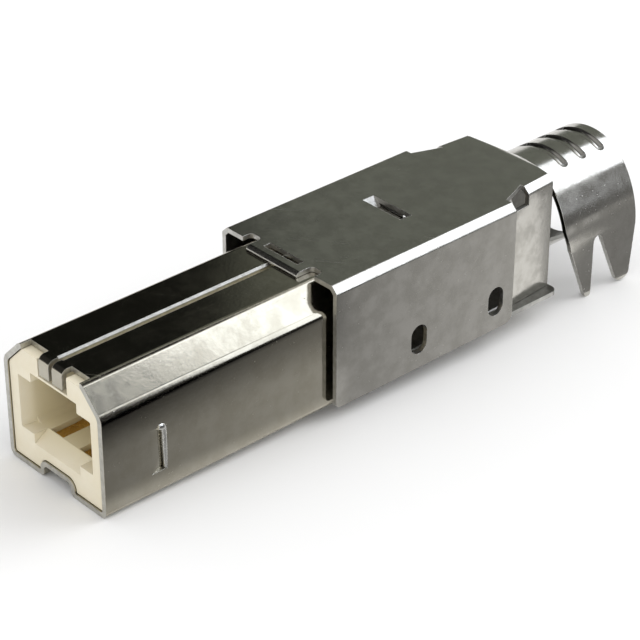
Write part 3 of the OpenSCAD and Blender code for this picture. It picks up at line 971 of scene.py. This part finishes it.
@dataclass(frozen=True)
class FloorBoard:
    """A plain board on the floor beside the plug, which only shiny surfaces show.

    Sizes are in millimetres. Its sides run away from the plug at two headings, given as Y for each X.
    Its grey changes at two turns from the plug outwards. It also rises steadily along the plug, and
    the greys are those at rise_y.
    """

    name: str
    front_y: float
    front_slope: float
    rear_y: float
    rear_slope: float
    greys: tuple[float, float, float]
    rise: float = 0.0
    rise_y: float = 0.0
    turns: tuple[Span, Span] = ((4.8, 6.2), (8.0, 12.6))
    near_x: float = 4.4
    far_x: float = 500.0
    lift: float = 0.05

    def build(self, floor: Matrix) -> None:
        """Adds the board on the floor.

        Args:
            floor: The floor's place.
        """
        run = self.far_x - self.near_x
        corners = ((self.near_x, self.front_y), (self.far_x, self.front_y + self.front_slope * run),
                   (self.near_x, self.rear_y), (self.far_x, self.rear_y + self.rear_slope * run))
        bpy.ops.object.select_all(action="DESELECT")
        bpy.ops.mesh.primitive_plane_add(size=1.0)
        board = bpy.context.object
        for corner, (x, y) in zip(board.data.vertices, corners):
            corner.co = (x * MM, y * MM, self.lift * MM)
        board.matrix_world = floor
        material, graph, grey = glow_material(self.name)
        axes = graph.split(graph.place())
        out, along = axes["X"], axes["Y"]
        near, middle, far = self.greys
        (first, second), (third, fourth) = self.turns
        close = graph.spread(out, first * MM, second * MM, near - middle, 0.0)
        away = graph.spread(out, third * MM, fourth * MM, middle, far)
        plug_y = graph.math("SUBTRACT", along, graph.math("MULTIPLY", out, self.rear_slope))
        start = (self.rise_y - self.rear_slope * self.near_x) * MM
        climb = graph.math("MULTIPLY", graph.math("SUBTRACT", plug_y, start), self.rise / MM)
        shade = graph.math("ADD", graph.math("ADD", close, away), climb)
        graph.feed(grey, graph.math("MAXIMUM", shade, 0.0))
        show_in_shine_only(board, self.name, material)


@dataclass(frozen=True)
class Canopy:
    """A round canopy overhead, dark with a light middle, which only shiny surfaces show."""

    name: str = "dark_canopy"
    lowest_elevation: float = 55.0
    turn_elevations: Span = (62.0, 74.0)
    height: float = 0.7
    corners: int = 96
    grey: float = 0.025
    middle_grey: float = 0.42

    def build(self) -> None:
        """Adds the canopy above the plug."""
        radius, start, end = (self.height / math.tan(math.radians(elevation))
                              for elevation in (self.lowest_elevation, *self.turn_elevations))
        bpy.ops.object.select_all(action="DESELECT")
        bpy.ops.mesh.primitive_circle_add(
            vertices=self.corners, radius=radius, fill_type="NGON", location=(0, 0, self.height))
        canopy = bpy.context.object
        material, graph, grey = glow_material(self.name)
        away = graph.add("ShaderNodeVectorMath", operation="LENGTH")
        graph.feed(away.inputs[0], graph.place())
        graph.feed(grey, graph.spread(away.outputs["Value"], end, start, self.middle_grey, self.grey))
        show_in_shine_only(canopy, self.name, material)


@dataclass
class Studio:
    """A pale floor, a white dome and a soft key light behind on the right.

    The cards, the boards and the canopy around the plug give the metal its bright and dark bands.
    """

    floor_m: float = 1.2
    floor_front_mm: float = -3.9
    floor_rear_mm: float = -5.26
    claw_y_mm: float = 37.45
    floor_colour: Colour = (0.88, 0.88, 0.88)
    dome_strength: float = 1.0
    key_azimuths: Span = (-9.0, 43.4)
    key_elevations: Span = (27.0, 52.0)
    key_distance: float = 0.5
    key_radiance: float = 3.2
    cards: tuple[StudioCard, ...] = (
        StudioCard("key_card", azimuths=(-9.0, 43.0), elevations=(27.0, 52.0), distance=0.49,
                   left_grey=2.9, right_grey=2.9, tint=COOL_WHITE),
        StudioCard("upper_corner_card", azimuths=(43.2, 55.0), elevations=(22.0, 35.0), distance=0.5,
                   left_grey=2.6, right_grey=2.6, tint=COOL_WHITE),
        StudioCard("lower_corner_card", azimuths=(47.4, 56.5), elevations=(8.0, 22.0), distance=0.5,
                   left_grey=2.6, right_grey=2.6, tint=COOL_WHITE),
        StudioCard("front_card", azimuths=(43.6, 80.0), elevations=(30.0, 60.0), distance=0.57,
                   left_grey=0.38, right_grey=0.38, tint=COOL_WHITE),
        StudioCard("left_card", azimuths=(-80.0, -16.0), elevations=(8.0, 54.0), distance=0.55,
                   left_grey=0.012, right_grey=0.2, turn_azimuth=-48.75, softness=1.3,
                   tint=GREENISH_WHITE),
        StudioCard("far_left_card", azimuths=(-150.0, -70.0), elevations=(8.0, 60.0), distance=0.62,
                   left_grey=0.04, right_grey=0.04),
        StudioCard("right_card", azimuths=(12.0, 80.0), elevations=(-4.0, 26.5), distance=0.6,
                   left_grey=0.2, right_grey=0.04, turn_azimuth=47.0, softness=0.4),
    )
    boards: tuple[FloorBoard, ...] = (
        FloorBoard("shell_board", front_y=-1.2, front_slope=0.45, rear_y=16.2, rear_slope=0.93,
                   greys=(0.62, 0.29, 0.0), rise=0.014),
        FloorBoard("cover_board", front_y=16.2, front_slope=0.93, rear_y=31.0, rear_slope=1.2,
                   greys=(0.41, 0.41, 0.41), rise=0.012, rise_y=16.2),
        FloorBoard("barrel_board", front_y=31.0, front_slope=1.2, rear_y=90.0, rear_slope=3.0,
                   greys=(0.28, 0.28, 0.28)),
        FloorBoard("neck_board", front_y=31.0, front_slope=1.2, rear_y=34.6, rear_slope=1.45,
                   greys=(1.05, 1.05, 1.05), far_x=14.0, lift=0.06),
    )
    canopy: Canopy = Canopy()

    def build(self) -> None:
        """Builds the floor, the boards, the cards, the canopy, the light and the dome."""
        floor = self._floor()
        for board in self.boards:
            board.build(floor)
        for card in self.cards:
            card.build()
        self.canopy.build()
        self._key()
        self._dome()

    def _floor(self) -> Matrix:
        """Adds the floor under the shell's front edge and the claws' tips.

        Returns:
            The floor's place.
        """
        bpy.ops.object.select_all(action="DESELECT")
        tilt = math.atan2(self.floor_rear_mm - self.floor_front_mm, self.claw_y_mm)
        place = (0, 0, self.floor_front_mm * MM)
        bpy.ops.mesh.primitive_plane_add(size=self.floor_m, location=place, rotation=(tilt, 0, 0))
        floor = bpy.context.object
        floor.name = "floor"
        material, _, _ = plain_material("pale_floor", "ShaderNodeBsdfDiffuse", self.floor_colour)
        floor.data.materials.append(material)
        return Matrix.Translation(place) @ Matrix.Rotation(tilt, 4, "X")

    def _key(self) -> None:
        """Adds the soft key light."""
        place, turn, half_wide, half_high = facing_panel(
            self.key_azimuths, self.key_elevations, self.key_distance)
        light = bpy.data.lights.new("key_softbox", "AREA")
        light.shape = "RECTANGLE"
        light.size, light.size_y = 2 * half_wide, 2 * half_high
        light.energy = self.key_radiance * math.pi * (2 * half_wide) * (2 * half_high)
        lamp = bpy.data.objects.new("key_softbox", light)
        lamp.location = place
        lamp.rotation_euler = turn
        bpy.context.scene.collection.objects.link(lamp)

    def _dome(self) -> None:
        """Sets a plain white world."""
        world = bpy.data.worlds.new("white_dome")
        bpy.context.scene.world = world
        world.use_nodes = True
        world.node_tree.nodes.clear()
        graph = Graph(world.node_tree)
        white = graph.add("ShaderNodeBackground")
        white.inputs["Color"].default_value = opaque(WHITE)
        white.inputs["Strength"].default_value = self.dome_strength
        graph.feed(graph.add("ShaderNodeOutputWorld").inputs["Surface"], white.outputs[0])


@dataclass
class PhotoCamera:
    """The camera at the photograph's viewing angle.

    Its place is given along its own axes, from the middle of the plug's mating face.
    """

    azimuth: float = 47.782
    elevation: float = 31.369
    focal_pixels: float = 2344.0
    right_mm: float = 13.985
    up_mm: float = 5.556
    back_mm: float = 123.102
    clip_mm: float = 1.0

    def build(self) -> None:
        """Adds the camera and makes it the scene's own."""
        turn, tilt = math.radians(self.azimuth), math.radians(self.elevation)
        back = Vector((math.sin(turn) * math.cos(tilt), -math.cos(turn) * math.cos(tilt), math.sin(tilt)))
        right = Vector((math.cos(turn), math.sin(turn), 0))
        up = back.cross(right)
        eye = (right * self.right_mm + up * self.up_mm + back * self.back_mm) * MM
        lens = bpy.data.cameras.new("photo_camera")
        lens.sensor_fit = "HORIZONTAL"
        lens.sensor_width = SENSOR_MM
        lens.lens = self.focal_pixels / FRAME_PIXELS * SENSOR_MM
        lens.clip_start = self.clip_mm * MM
        camera = bpy.data.objects.new("photo_camera", lens)
        bpy.context.scene.collection.objects.link(camera)
        basis = Matrix((right, up, back)).transposed().to_4x4()
        camera.matrix_world = Matrix.Translation(eye) @ basis
        bpy.context.scene.camera = camera


def main() -> None:
    """Builds the camera, the plug's sub-assemblies and the studio in order."""
    logging.basicConfig(level=logging.INFO, format="%(name)s: %(message)s")
    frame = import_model()
    bpy.context.scene.view_settings.view_transform = "Standard"
    PhotoCamera().build()
    kit = FinishKit(SurfaceEffects())
    for assembly in (MatingShell(), ContactBlock(), RearCovers()):
        for piece in assembly.build(frame, kit):
            LOG.info("%s: %d faces", piece.name, len(piece.data.polygons))
    Studio().build()


if __name__ == "__main__":
    main()
